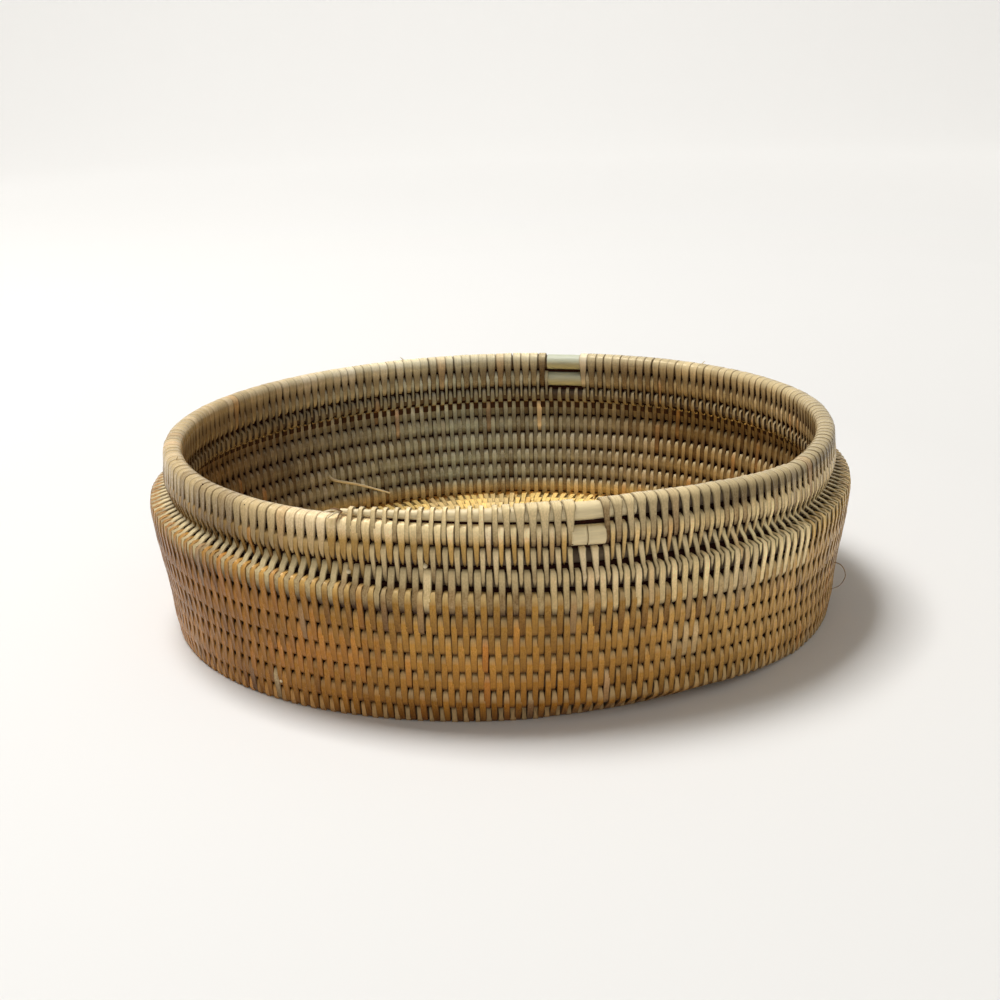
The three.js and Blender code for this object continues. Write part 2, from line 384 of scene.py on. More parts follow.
def feed(tree, socket, value):
    if isinstance(value, Field):
        tree.links.new(value.socket, socket)
    elif isinstance(value, bpy.types.NodeSocket):
        tree.links.new(value, socket)
    else:
        socket.default_value = value


def put(tree, kind, inputs=None, **settings):
    """A new node with its settings, its inputs fed by identifier."""
    node = tree.nodes.new(kind)
    for name, value in settings.items():
        setattr(node, name, value)
    sockets = {socket.identifier: socket for socket in node.inputs}
    for name, value in (inputs or {}).items():
        feed(tree, sockets[name], value)
    return node


def scaled(vector, number):
    node = put(vector.tree, "ShaderNodeVectorMath", {"Vector": vector, "Scale": number}, operation="SCALE")
    return Field(vector.tree, node.outputs["Vector"])


def rising(field, start, span):
    """0 up to the start and 1 past the span; a span below 0 goes the other way."""
    return ((field - start) / span).clamped()


def summed(first, *rest):
    for other in rest:
        node = put(first.tree, "ShaderNodeVectorMath", {"Vector": first, "Vector_001": other}, operation="ADD")
        first = Field(first.tree, node.outputs["Vector"])
    return first


def named(tree, name, kind="FLOAT"):
    node = put(tree, "GeometryNodeInputNamedAttribute", {"Name": name}, data_type=kind)
    return Field(tree, node.outputs["Attribute"])


def stored(tree, geometry, name, value):
    node = put(tree, "GeometryNodeStoreNamedAttribute", {"Geometry": geometry, "Name": name, "Value": value},
               data_type="FLOAT", domain="POINT")
    return node.outputs["Geometry"]


def new_tree(name, inputs):
    """An empty geometry tree with a mesh in and out, and named inputs."""
    tree = bpy.data.node_groups.new(name, "GeometryNodeTree")
    tree.interface.new_socket("Geometry", in_out="INPUT", socket_type="NodeSocketGeometry")
    tree.interface.new_socket("Geometry", in_out="OUTPUT", socket_type="NodeSocketGeometry")
    for label, (kind, default) in inputs.items():
        socket = tree.interface.new_socket(label, in_out="INPUT", socket_type=kind)
        if default is not None:
            socket.default_value = default
    source = tree.nodes.new("NodeGroupInput")
    result = tree.nodes.new("NodeGroupOutput")
    return tree, {s.name: s for s in source.outputs}, result


# Rings of a stitch: round its own turn, down the inside, round the turn below, and up the outside
OWN_ARC, TIE_START, TIE_END, RING_COUNT = 8.0, 10.0, 18.0, 20
# Section of a splint: how much narrower its top is, and how high its underside and its top lie, in thicknesses
TOP_NARROWER, UNDERSIDE_AT, TOP_AT = 0.13, 0.15, 0.90
# How much taller than wide a sewn turn is
TURN_HEIGHT = 1.09
# Most that a stitch differs in width, in lift by thicknesses, and in place by millimetres
WIDTH_SCATTER, LIFT_SCATTER, PLACE_SCATTER = 0.1, 0.25, 0.12


def splint_tree():
    """Each point becomes a closed loop of splint round the rod there and the rod of the turn below."""
    tree, given, result = new_tree("Sewn Splints", {
        "Splint Thickness": ("NodeSocketFloat", 0.38 * MM),
        "Unevenness": ("NodeSocketFloat", 1.0),
        "Seed": ("NodeSocketInt", 7),
        "Material": ("NodeSocketMaterial", None),
    })
    given = {name: Field(tree, socket) for name, socket in given.items()}

    def scatter(low, high, shift):
        seed = given["Seed"] + shift
        node = put(tree, "FunctionNodeRandomValue", {"Min_001": low, "Max_001": high, "Seed": seed}, data_type="FLOAT")
        return Field(tree, node.outputs[1])

    # One loop, as rings of four corners, numbered so that each corner knows its place
    loop = put(tree, "GeometryNodeCurvePrimitiveCircle", {"Resolution": RING_COUNT, "Radius": 1.0})
    section = put(tree, "GeometryNodeCurvePrimitiveQuadrilateral", {"Width": 0.1, "Height": 0.1})
    strip = put(tree, "GeometryNodeCurveToMesh", {"Curve": loop.outputs[0], "Profile Curve": section.outputs[0]})
    index = Field(tree, put(tree, "GeometryNodeInputIndex").outputs[0])
    ring_number = (index / 4.0).math("FLOOR")
    shape = stored(tree, strip.outputs[0], "ring", ring_number)
    shape = stored(tree, shape, "corner", index - ring_number * 4.0)

    # What makes one stitch differ from the next is drawn once for each point
    points = given["Geometry"]
    for name, low, high, shift in (("chance", 0.0, 1.0, 1), ("spread", -1.0, 1.0, 2), ("nudge", -1.0, 1.0, 3),
                                   ("lift", 0.0, 1.0, 4), ("sway", -1.0, 1.0, 5)):
        points = stored(tree, points, name, scatter(low, high, shift))
    cloud = put(tree, "GeometryNodeMeshToPoints", {"Mesh": points})
    placed = put(tree, "GeometryNodeInstanceOnPoints", {"Points": cloud.outputs[0], "Instance": shape})
    real = put(tree, "GeometryNodeRealizeInstances", {"Geometry": placed.outputs[0]})

    uneven = given["Unevenness"]
    ring, corner = named(tree, "ring"), named(tree, "corner")
    outer_side = corner - 1.5
    sign = outer_side.above(0.0) * 2.0 - 1.0
    top = 1.0 - outer_side.abs().above(1.0)
    across = sign * (1.0 - top * TOP_NARROWER)
    stage_down = ((ring - OWN_ARC) / (TIE_START - OWN_ARC)).clamped()
    stage_under = ((ring - TIE_START) / (TIE_END - TIE_START)).clamped()
    stage_up = ((ring - TIE_END) / (RING_COUNT - TIE_END)).clamped()
    own = 1.0 - stage_down + stage_up
    middle = own * (1.0 - own) * 4.0
    axis, out_own, in_own = named(tree, "axis"), named(tree, "out_own"), named(tree, "in_own")
    out_tie, in_tie = named(tree, "out_tie"), named(tree, "in_tie")
    around = out_own + (ring / OWN_ARC).clamped() * (in_own - out_own) + stage_down * (in_tie - in_own) \
        + stage_under * (out_tie + math.tau - in_tie) + stage_up * (out_own - out_tie)
    # The splint is broad over its own turn and pinched at the crest, and tapers under the turn below
    crown = (around - axis).cos()
    crest = crown.math("MAXIMUM", 0.0).power(3.0)
    foot = (0.15 - crown).clamped().power(1.2)

    tie_width, own_width = named(tree, "tie_width"), named(tree, "own_width")
    flare = named(tree, "flare")
    broad = own * ((crown + flare) / (flare + 0.7)).clamped()
    pinch = own * crest * named(tree, "pinch") + (1.0 - own) * foot * named(tree, "taper")
    width = (tie_width + (own_width - tie_width) * broad) * (1.0 - pinch) \
        * (named(tree, "spread") * uneven * WIDTH_SCATTER + 1.0)
    # A turn's section lies between a circle and a square, by the power it is drawn with
    power = named(tree, "lower_power") + (named(tree, "upper_power") - named(tree, "lower_power")) * own
    squared = around.cos().abs().power(power) + around.sin().abs().power(power)
    boxed = squared.power(-1.0 / power)
    upper, lower = named(tree, "upper_radius"), named(tree, "lower_radius")
    thickness = given["Splint Thickness"]
    lift = named(tree, "lift") * uneven * thickness * LIFT_SCATTER
    sag = middle * named(tree, "sag") + (1.0 - own) * foot * (named(tree, "taper") * 0.5 + 0.2) * MM
    skin = thickness * (top * (TOP_AT - UNDERSIDE_AT) + UNDERSIDE_AT)
    reach = (lower + (upper - lower) * own) * boxed + skin + lift - sag

    # Outside, the stitch moves on along the coil as it goes down
    outside = ((around - axis + math.pi / 2).cos() + 1.0) / 2.0
    loose = named(tree, "loose") * uneven * PLACE_SCATTER * MM
    slant = named(tree, "slant") + named(tree, "sway") * loose
    moved = (1.0 - own) * outside * slant + named(tree, "nudge") * loose
    sideways = across * width * 0.5 + moved

    above, below = named(tree, "above", "FLOAT_VECTOR"), named(tree, "below", "FLOAT_VECTOR")
    outward, onward = named(tree, "outward", "FLOAT_VECTOR"), named(tree, "onward", "FLOAT_VECTOR")
    climb = put(tree, "ShaderNodeCombineXYZ", {"Z": around.sin() * reach * TURN_HEIGHT})
    position = summed(scaled(above, own), scaled(below, 1.0 - own), scaled(outward, around.cos() * reach),
                      Field(tree, climb.outputs[0]), scaled(onward, sideways))
    # What would go through the table is pressed flat on it
    pressed = put(tree, "ShaderNodeVectorMath", {"Vector": position, "Vector_001": (-1.0, -1.0, 0.0)},
                  operation="MAXIMUM")
    shaped = put(tree, "GeometryNodeSetPosition", {"Geometry": real.outputs[0], "Position": pressed.outputs[0]})
    geometry = stored(tree, shaped.outputs[0], "across", across)
    geometry = stored(tree, geometry, "along", around * reach + (1.0 - own) * 0.01)
    geometry = stored(tree, geometry, "own", own)
    geometry = stored(tree, geometry, "crown", crown)
    geometry = stored(tree, geometry, "inner", -(around.cos()))
    smoothed = put(tree, "GeometryNodeSetShadeSmooth", {"Geometry": geometry, "Shade Smooth": True})
    # An edge that runs along the splint has the same corner number at both ends
    lengthwise = 1.0 - corner.math("FRACT").above(0.25)
    creased = put(tree, "GeometryNodeSetShadeSmooth", {"Geometry": smoothed.outputs[0], "Selection": lengthwise,
                                                       "Shade Smooth": False}, domain="EDGE")
    finished = put(tree, "GeometryNodeSetMaterial", {"Geometry": creased.outputs[0], "Material": given["Material"]})
    tree.links.new(finished.outputs[0], result.inputs[0])
    return tree


def rod_tree():
    """A line of stations becomes a round rod, as thick at each station as that station says."""
    tree, given, result = new_tree("Foundation Rod", {
        "Sides": ("NodeSocketInt", 10),
        "Material": ("NodeSocketMaterial", None),
    })
    line = put(tree, "GeometryNodeMeshToCurve", {"Mesh": given["Geometry"]})
    turned = put(tree, "GeometryNodeSetCurveNormal", {"Curve": line.outputs[0]}, mode="Z_UP")
    section = put(tree, "GeometryNodeCurvePrimitiveCircle", {"Resolution": given["Sides"], "Radius": 1.0})
    rod = put(tree, "GeometryNodeCurveToMesh", {
        "Curve": turned.outputs[0], "Profile Curve": section.outputs[0],
        "Scale": named(tree, "rod_radius"), "Fill Caps": True,
    })
    smoothed = put(tree, "GeometryNodeSetShadeSmooth", {"Geometry": rod.outputs[0], "Shade Smooth": True})
    real = put(tree, "GeometryNodeRealizeInstances", {"Geometry": smoothed.outputs[0]})
    finished = put(tree, "GeometryNodeSetMaterial", {"Geometry": real.outputs[0], "Material": given["Material"]})
    tree.links.new(finished.outputs[0], result.inputs[0])
    return tree


def grown(name, source, tree, values):
    """The plain mesh that a geometry tree makes from a source mesh, as a new object at the origin."""
    carrier = bpy.data.objects.new(name + "_source", source)
    bpy.context.scene.collection.objects.link(carrier)
    modifier = carrier.modifiers.new("shape", "NODES")
    modifier.node_group = tree
    for item in tree.interface.items_tree:
        if item.item_type == "SOCKET" and item.in_out == "INPUT" and item.name in values:
            modifier[item.identifier] = values[item.name]
    depsgraph = bpy.context.evaluated_depsgraph_get()
    mesh = bpy.data.meshes.new_from_object(carrier.evaluated_get(depsgraph))
    bpy.data.objects.remove(carrier)
    bpy.data.meshes.remove(source)
    mesh.polygons.foreach_set("material_index", np.zeros(len(mesh.polygons), np.int32))
    mesh.materials.clear()
    mesh.materials.append(values["Material"])
    mesh.name = name
    return add_piece(name, mesh)


def add_piece(name, mesh):
    piece = bpy.data.objects.new(name, mesh)
    bpy.context.scene.collection.objects.link(piece)
    return piece


def finish_piece(piece, nodes=()):
    if not len(piece.data.polygons):
        raise RuntimeError(f"{piece.name} came out empty")
    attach(piece, "root")
    if nodes:
        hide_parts(*nodes)


def point_mesh(name, points, fields, edges=()):
    mesh = bpy.data.meshes.new(name)
    mesh.from_pydata([tuple(p) for p in points], list(edges), [])
    for key, values in fields.items():
        values = np.asarray(values, np.float32)
        kind, slot = ("FLOAT_VECTOR", "vector") if values.ndim == 2 else ("FLOAT", "value")
        attribute = mesh.attributes.new(key, kind, "POINT")
        attribute.data.foreach_set(slot, values.ravel())
    return mesh


# Finishes

def attribute(tree, name):
    return Field(tree, put(tree, "ShaderNodeAttribute", attribute_name=name).outputs["Fac"])


def object_point(tree):
    return Field(tree, put(tree, "ShaderNodeTexCoord").outputs["Object"])


def point_and_parts(tree):
    """The point on the object, and how far it lies sideways, backward and up."""
    where = object_point(tree)
    parts = put(tree, "ShaderNodeSeparateXYZ", {"Vector": where})
    return (where, *(Field(tree, parts.outputs[axis]) for axis in "XYZ"))


def noise(tree, vector, scale, detail, roughness=0.55):
    node = put(tree, "ShaderNodeTexNoise", {"Vector": vector, "Scale": scale, "Detail": detail,
                                            "Roughness": roughness})
    return Field(tree, node.outputs["Fac"])


def mixed(tree, factor, first, second, blend="MIX"):
    node = put(tree, "ShaderNodeMix", {"Factor_Float": factor, "A_Color": first, "B_Color": second},
               data_type="RGBA", blend_type=blend)
    # The third output is the colour; the first two are a number and a direction
    return Field(tree, node.outputs[2])


def shade(base, factor):
    return (*[min(1.0, c * factor) for c in base], 1.0)


def seen(tree):
    """1 for what the camera sees, itself or in a gloss, and 0 for the light that falls on things."""
    path = put(tree, "ShaderNodeLightPath")
    camera, gloss, through = (Field(tree, path.outputs[f"Is {kind} Ray"])
                              for kind in ("Camera", "Glossy", "Transmission"))
    return (camera + gloss + through).clamped()


def blank_material(name):
    material = bpy.data.materials.new(name)
    material.use_nodes = True
    tree = material.node_tree
    tree.nodes.clear()
    output = tree.nodes.new("ShaderNodeOutputMaterial")
    shader = tree.nodes.new("ShaderNodeBsdfPrincipled")
    tree.links.new(shader.outputs[0], output.inputs["Surface"])
    return material, tree, shader


class SplintPoint:
    """What a splint's material knows of a point: its place on the basket and on its own loop."""

    def __init__(self, tree):
        self.where, self.sideways, self.backward, self.height = point_and_parts(tree)
        for name in ("across", "along", "tone", "own", "crown", "inner", "under_ledge", "chance", "odd"):
            setattr(self, name, attribute(tree, name))
        self.leftward = rising(self.sideways, -20 * MM, -50 * MM)
        self.rightward = rising(self.sideways, 10 * MM, 50 * MM)
        self.on_inside = (self.inner * 4.0).clamped()
        self.on_outside = (1.0 - self.inner * 4.0).clamped()
        self.on_floor = rising(self.height, 7.5 * MM, -2 * MM) * self.on_inside
        self.region = noise(tree, self.where, 24.0, 3.0, 0.6)

    def tints(self, name, colours):
        """The colour that a kind of splint starts from, and those that it turns to, with how far it does."""
        if name == "wall_splint":
            # Painted shade low down and painted light near the top
            low_down = (1.0 - (self.height - 3 * MM) / (36 * MM) + (self.region - 0.5) * 0.8).clamped()
            near_top = rising(self.height, 34 * MM, 3 * MM) * (1.0 - self.leftward * 0.7)
            # Painted shade on the left and painted light on the right
            return colours.wall, ((self.leftward, colours.wall_left), (self.rightward, colours.wall_right),
                                  (low_down * (1.0 - self.rightward * 0.6), colours.foot),
                                  (near_top * 0.5, colours.shoulder))
        if name == "floor_splint":
            # Painted light: brighter and more golden at the back than towards the front
            return colours.floor, ((rising(self.backward, 45 * MM, -50 * MM), colours.floor_front),)
        # The rim's wraps are paler than the collar's, and both are browner at the left; the ledge's outside is painted
        # paler, as painted light on its upward face
        high_up = rising(self.height, 48.5 * MM, 3 * MM)
        at_back = rising(self.backward, 30 * MM, 40 * MM)
        return colours.rim, ((high_up * 0.9, colours.rim_top), (at_back * high_up * 0.9, colours.rim_back),
                             (self.leftward * (0.9 - high_up * 0.1), colours.rim_left),
                             (self.rightward * high_up * 0.85, colours.rim_right),
                             (self.rightward * (1.0 - high_up) * 0.8, colours.collar_right),
                             (self.under_ledge * self.on_outside * 0.9, colours.ledge))

    def shade_and_dust(self):
        """How dark a point is painted, mostly painted shade and partly dirt: in the dark lines at a splint's edges, on
        the turn that it ties, and in the shadow under the ledge on the inner side.
        """
        edge = rising(self.across.abs(), 0.66, 0.34) * (0.6 - self.leftward * 0.3)
        deep = (1.0 - self.own) * ((-self.crown - 0.25 - self.leftward * 0.2) / 0.6).clamped() * 0.8
        # Painted shadow under the ledge's overhang on the inner side, and painted shade where a splint bends into the
        # seam
        lap = (self.own * (1.0 - self.own) * 4.0 * (self.under_ledge + 0.4) + self.under_ledge * 0.85) * self.on_inside
        return (edge + deep + lap + (1.0 - self.own) * 0.14).clamped() * (1.0 - self.on_floor * 0.65)


def lining(tree, point, colours):
    """Colour of the wall's inner side: grey at the back, as painted sheen where the light falls, brown at the ends with
    painted shade on the left, golden at the foot.
    """
    lit = (1.0 - (point.sideways + 12 * MM).abs() / (75 * MM)).clamped()
    shaded = rising(point.sideways, -30 * MM, -40 * MM) * 0.55
    ends = mixed(tree, shaded, (*colours.inside_ends, 1.0), (*colours.hollow, 1.0))
    side = mixed(tree, lit, ends, (*colours.inside, 1.0))
    return mixed(tree, rising(point.height, 10 * MM, -6 * MM), side, (*colours.floor, 1.0))


# How finely the grain runs across a splint, along it, and from one tone to the next
GRAIN_ACROSS, GRAIN_ALONG, GRAIN_BY_TONE = 3.4, 110.0, 60.0
# A stitch whose chance is past this is russet, and one whose chance is as near to 0 is dull
RARE = 0.97
# Tone of a splint from dark to light, as factors on its colour, and what they are divided by in the ramp
TONES = ((0.05, (0.26, 0.17, 0.10)), (0.28, (0.62, 0.53, 0.44)), (0.52, (1.02, 1.00, 0.94)),
         (0.74, (1.36, 1.32, 1.22)), (0.96, (1.80, 1.82, 2.0)))
TONE_LIMIT = 2.2


def toned(tree, skin, level):
    """A colour made darker or lighter by a level from 0 to 1."""
    ramp = put(tree, "ShaderNodeValToRGB", {"Fac": level})
    elements = ramp.color_ramp.elements
    while len(elements) < len(TONES):
        elements.new(0.5)
    for element, (position, factors) in zip(elements, TONES):
        element.position, element.color = position, (*[f / TONE_LIMIT for f in factors], 1.0)
    darkened = mixed(tree, 1.0, skin, ramp.outputs["Color"], "MULTIPLY")
    return scaled(darkened, TONE_LIMIT)


def splint_material(full_name, name, colours):
    """Split rattan: fine lengthwise grain under a soft gloss, each splint of its own tone."""
    material, tree, shader = blank_material(full_name)
    point = SplintPoint(tree)
    own, tone, across = point.own, point.tone, point.across
    streaks = put(tree, "ShaderNodeCombineXYZ", {"X": across * GRAIN_ACROSS, "Y": point.along * GRAIN_ALONG,
                                                 "Z": tone * GRAIN_BY_TONE})
    grain = noise(tree, streaks.outputs[0], 1.5, 5.0, 0.65)
    speck = noise(tree, point.where, 1900.0, 2.0, 0.5)
    base, tints = point.tints(name, colours)
    skin = (*base, 1.0)
    for amount, tint in tints:
        skin = mixed(tree, amount, skin, (*tint, 1.0))
    if name != "floor_splint":
        inside = (point.inner * 1.6 - 0.1).clamped() * 0.85
        skin = mixed(tree, inside, skin, lining(tree, point, colours))
    for amount, tint in ((point.chance.above(RARE) * 0.34, colours.russet),
                         ((1.0 - point.chance).above(RARE) * 0.32, colours.dull),
                         (point.odd.clamped(), colours.bleach_and_sheen), ((-point.odd).clamped(), colours.rusty)):
        skin = mixed(tree, amount, skin, (*tint, 1.0))
    # A splint's part over its own turn is painted lighter than its tie, as painted light
    level = tone * 0.74 + grain * 0.5 + (point.region - 0.5) * 0.45 + (speck - 0.5) * 0.35 + own * 0.16 - 0.14
    # The tops are paler, mostly as painted highlight where they face up to the light and partly from wear, most of all
    # on the outside of the ledge.
    wear_and_highlight = own * rising(point.crown, 0.15, 0.6) * (0.42 - point.leftward * 0.34) * (1.0 - point.on_floor * 0.7)
    pale = (wear_and_highlight + own * point.under_ledge * point.on_outside * 1.1).clamped()
    topped = mixed(tree, pale, toned(tree, skin, level), shade(colours.rod, 0.95))
    # Painted shade, partly dust, darkens the splint towards the seam colour and makes it rougher
    shade_and_dust = point.shade_and_dust()
    feed(tree, shader.inputs["Base Color"], mixed(tree, shade_and_dust, topped, (*colours.hollow, 1.0)))
    feed(tree, shader.inputs["Roughness"], grain * 0.24 + shade_and_dust * 0.5 + 0.15)
    shader.inputs["Specular IOR Level"].default_value = 0.30
    shader.inputs["Specular Tint"].default_value = (1.0, 0.85, 0.58, 1.0)
    domed = grain * 0.35 + (1.0 - across * across) + (speck - 0.5) * 0.2
    bump = put(tree, "ShaderNodeBump", {"Height": domed, "Strength": 0.8, "Distance": 0.00017})
    tree.links.new(bump.outputs[0], shader.inputs["Normal"])
    return material


def rod_material(name, base, hollow, bare):
    """Round rod: fine grain and dusty patches where it is bare; where the splints cover it, nearly all painted seam
    shade, for the dark lines between the splints.
    """
    material, tree, shader = blank_material(name)
    where = object_point(tree)
    squeezed = put(tree, "ShaderNodeMapping", {"Vector": where, "Scale": (1.0, 1.0, 9.0)}, vector_type="POINT")
    grain = noise(tree, squeezed.outputs[0], 260.0, 4.0, 0.6)
    patch = noise(tree, where, 60.0, 2.0)
    tone = mixed(tree, grain, shade(base, 0.78), shade(base, 1.12))
    # Bare rod gets dusty patches; covered rod is painted nearly all in seam shade, as painted shade between the splints
    soil_and_shade = (patch - 0.3) * 0.22 if bare else (patch * 0.3 + 0.75).clamped()
    feed(tree, shader.inputs["Base Color"], mixed(tree, soil_and_shade, tone, (*hollow, 1.0)))
    shader.inputs["Roughness"].default_value = 0.5 if bare else 0.9
    bump = put(tree, "ShaderNodeBump", {"Height": grain, "Strength": 0.4, "Distance": 0.0001})
    tree.links.new(bump.outputs[0], shader.inputs["Normal"])
    return material


def finish(name):
    """The material of that name, made on first use."""
    full_name = name + "_finish"
    found = bpy.data.materials.get(full_name)
    if found:
        return found
    colours = bpy.context.scene.basket_colours
    hollow = tuple(colours.hollow)
    rods = {"bare_rod": colours.rod, "packed_rod": colours.rod, "golden_rod": shade(colours.floor, 0.5)[:3],
            "weathered_rod": colours.weathered_rod, "pale_strand": colours.pale_strand,
            "brown_strand": colours.brown_strand}
    if name in rods:
        return rod_material(full_name, tuple(rods[name]), hollow, name != "packed_rod")
    if name == "seam_shade":
        material, tree, shader = blank_material(full_name)
        shader.inputs["Base Color"].default_value = (*hollow, 1.0)
        shader.inputs["Roughness"].default_value = 1.0
        shader.inputs["Specular IOR Level"].default_value = 0.1
        return material
    return splint_material(full_name, name, colours)


# Pieces

# Places along the coil, by turn. The climb to a course is centred on the course's own number, and the rim's is 10.
# Where the floor's splints are parted into two pieces
FLOOR_SPLIT = -5.0
# From where to where the rod lies bare, and where the two scales lie on the collar's front
BARE_BACK_COLLAR, BARE_BACK_RIM, BARE_FRONT_COLLAR = (9.5406, 9.5592), (10.5406, 10.5592), (9.9768, 9.9886)
BARE_SCALES = ((9.9850, 9.9905), (9.9782, 9.9846))
# Where the covered rod of the rim ends and the bare rod of the tail starts
RIM_ROD_END, TAIL_ROD_START = 10.968, 10.966

# Where the rod starts to show between the wraps on the rim, over what part of a turn, and how far it stands out there
BARE_ROD_START, BARE_ROD_SPAN = 10.97, 0.02
BARE_ROD_PROUD = 0.40 * MM

# Stitches that are paler (above 0) or rustier (below 0) than the others, by turn; the pale fronts of the ledge (7.955
# to 8.085) and the collar (8.93 to 9.065) are partly painted sheen
ODD_COLOURS = (
    (8.93, 9.065, 0.75), (7.955, 8.085, 0.40), (10.945, 11.01, 0.55), (10.08, 10.30, 0.45), (10.30, 10.75, 0.35),
    (8.085, 8.40, 0.4), (7.914, 7.932, 0.6), (6.915, 6.933, 0.5), (4.940, 4.953, 0.5), (2.1070, 2.1110, 0.9),
    (7.533, 7.538, 0.9), (5.0190, 5.0240, -0.8), (3.0190, 3.0240, -0.8), (4.068, 4.112, -0.35), (5.060, 5.100, -0.3),
    (9.976, 9.990, 0.9), (10.6190, 10.6300, 0.7),
)

# Worn or uneven stitches, by turn: first, last, width against the usual one (0 where they are gone), tone
ODD_STITCHES = (
    (10.9785, 10.9875, 0.0, 0.0),
    (9.9795, 9.9890, 0.0, 0.0),
    (8.9785, 8.9895, 1.5, 0.3),
    (10.9757, 10.9783, 0.8, -0.9),
    (10.9565, 10.9590, 0.8, -0.9),
    (10.5350, 10.5412, 0.9, -0.9),
    (10.5412, 10.5590, 0.0, 0.0),
    (9.5412, 9.5585, 0.0, 0.0),
    (10.5590, 10.5630, 1.0, 0.9),
    (7.5330, 7.5370, 1.1, 0.9),
    (8.0400, 8.0452, 1.35, 0.5),
)


def batch_tones(count, seed):
    """Each length of splint makes a run of stitches before the next is spliced in, so a run shares its tone."""
    chance = np.random.default_rng(seed)
    tones = np.zeros(count)
    at = 0
    while at < count:
        run = int(chance.integers(9, 34))
        tones[at:at + run] = chance.random()
        at += run
    return 0.12 + 0.36 * tones + 0.40 * chance.random(count)


def stitch_looks(turns, seed):
    """Each stitch's tone, its width against the usual one, and how odd its colour is."""
    tones, widths, odd = batch_tones(len(turns), seed), np.ones(len(turns)), np.zeros(len(turns))
    for first, last, width, tone in ODD_STITCHES:
        marked = (turns >= first) & (turns < last)
        widths[marked] = width
        tones[marked] = np.clip(tones[marked] * 0.4 + 0.3 + tone, 0, 1.1)
    for first, last, amount in ODD_COLOURS:
        odd[(turns >= first) & (turns < last)] = amount
    return tones, widths, odd


def splint_points(name, coil, splints, low, high):
    """One point for each stitch, with what the loop of splint needs to know of the two turns that it ties."""
    turns = stitch_turns(coil, splints.stitches)
    tones, widths, odd = stitch_looks(turns, splints.seed)
    kept = (turns >= low) & (turns < high) & (widths > 0)
    turns, tones, widths, odd = turns[kept], tones[kept], widths[kept], odd[kept]
    middle, outward = coil.station(turns)
    below, _ = coil.station(turns - 1)
    inner = turns - 1 < coil.first
    below[inner] = (0.0, coil.sizes.box_shift, coil.sizes.floor_rod / 2)
    core = splints.thickness - 0.06 * MM
    upper = coil.rod(turns) / 2 - core
    lower = np.where(inner, 0.3 * MM, coil.rod(turns - 1) / 2 - core)
    onward = np.stack([outward[:, 1], -outward[:, 0], np.zeros(len(turns))], 1)
    flat = (middle - below) * (1, 1, 0)
    on_floor = turns < 1 - coil.half
    lie = flat / np.maximum(np.linalg.norm(flat, axis=1), 1e-9)[:, None]
    outward = np.where(on_floor[:, None], lie, outward)
    onward = np.where(on_floor[:, None], np.stack([lie[:, 1], -lie[:, 0], 0 * lie[:, 0]], 1), onward)
    apart = middle - below
    level = (apart * outward).sum(1)
    axis = np.arctan2(apart[:, 2], level)
    distance = np.hypot(level, apart[:, 2])
    half_arc = np.arccos(np.clip((lower - upper) / distance, -1, 1))
    at = coil.place(turns)
    past_splice = fade(turns, 11.008, 0.012)
    right_half = fade(turns, 10.45, 0.3)
    rim = fade(at, 9.55, 0.4) * (1 - past_splice)
    bare = fade(turns, BARE_ROD_START, BARE_ROD_SPAN)
    upper_part = fade(at, 7.2, 0.6)
    open_ties = fade(turns, 8.5, 0.2) * (1 - fade(turns, 10.3, 0.3))
    left_end = np.clip(np.cos(coil.facing(turns) - math.radians(200)), 0, 1) ** 2
    on_ledge = np.clip(1 - np.abs(at - LEDGE), 0, 1)
    on_collar = np.clip(1 - np.abs(at - COLLAR), 0, 1)

    # Two patches at the back of the floor are worn pale
    patches = np.abs(np.abs(middle[:, 0] + 8 * MM) - 10 * MM) < 5 * MM
    odd = np.where(on_floor & (middle[:, 1] > 55 * MM) & patches, 0.5, odd)
    tones = np.where(on_floor, 0.36 + 0.45 * tones, tones)

    # Angles at which a loop leaves and meets each turn; the ledge's loops reach further round both
    outside, inside = axis - half_arc, axis + half_arc
    out_own = outside + (math.radians(20) - outside) * on_ledge
    out_tie = outside + (math.radians(75) - outside) * on_ledge

    own_width = (splints.width + (splints.rim_width - splints.width) * rim) * widths \
        * (1 + 0.13 * left_end * (1 - rim)) * (1 - 0.36 * past_splice + 0.03 * rim * (1 - right_half)
                                               - 0.06 * open_ties * (1 - rim) + 0.2 * on_floor)
    tie_width = splints.tie_width * np.minimum(widths, 1.15) * (1 + 0.13 * left_end) \
        * (1 - 0.32 * open_ties - 0.1 * on_collar + rim * (0.28 - 0.46 * right_half) - 0.2 * past_splice)

    def squareness(place):
        return np.where(place < 0.5, 2.6, 3.0 + (splints.squareness - 3.0) * (1 - fade(place, 9.4, 0.6)))

    fields = {
        "above": middle, "below": below, "outward": outward, "onward": onward, "axis": axis,
        "out_own": out_own, "in_own": inside + math.radians(60) * on_ledge,
        "in_tie": inside - math.radians(25) * on_ledge, "out_tie": out_tie,
        "upper_radius": upper + bare * BARE_ROD_PROUD, "lower_radius": lower - 0.3 * MM * on_collar,
        "upper_power": squareness(at), "lower_power": squareness(at - 1),
        "own_width": own_width, "tie_width": tie_width, "tone": tones, "odd": odd, "under_ledge": 0.55 * on_ledge,
        "pinch": np.where(at > 9.5, 0.0, 0.38 - 0.2 * left_end), "taper": 0.14 + 0.66 * open_ties,
        "loose": 1 + 1.6 * past_splice, "flare": 0.55 + 1.6 * rim * (1 - right_half), "sag": 0.5 * MM * on_ledge,
        "slant": np.where(on_floor, 0.0, splints.slant + (splints.rim_slant - splints.slant) * upper_part),
    }
    return point_mesh(name + "_points", middle, fields)


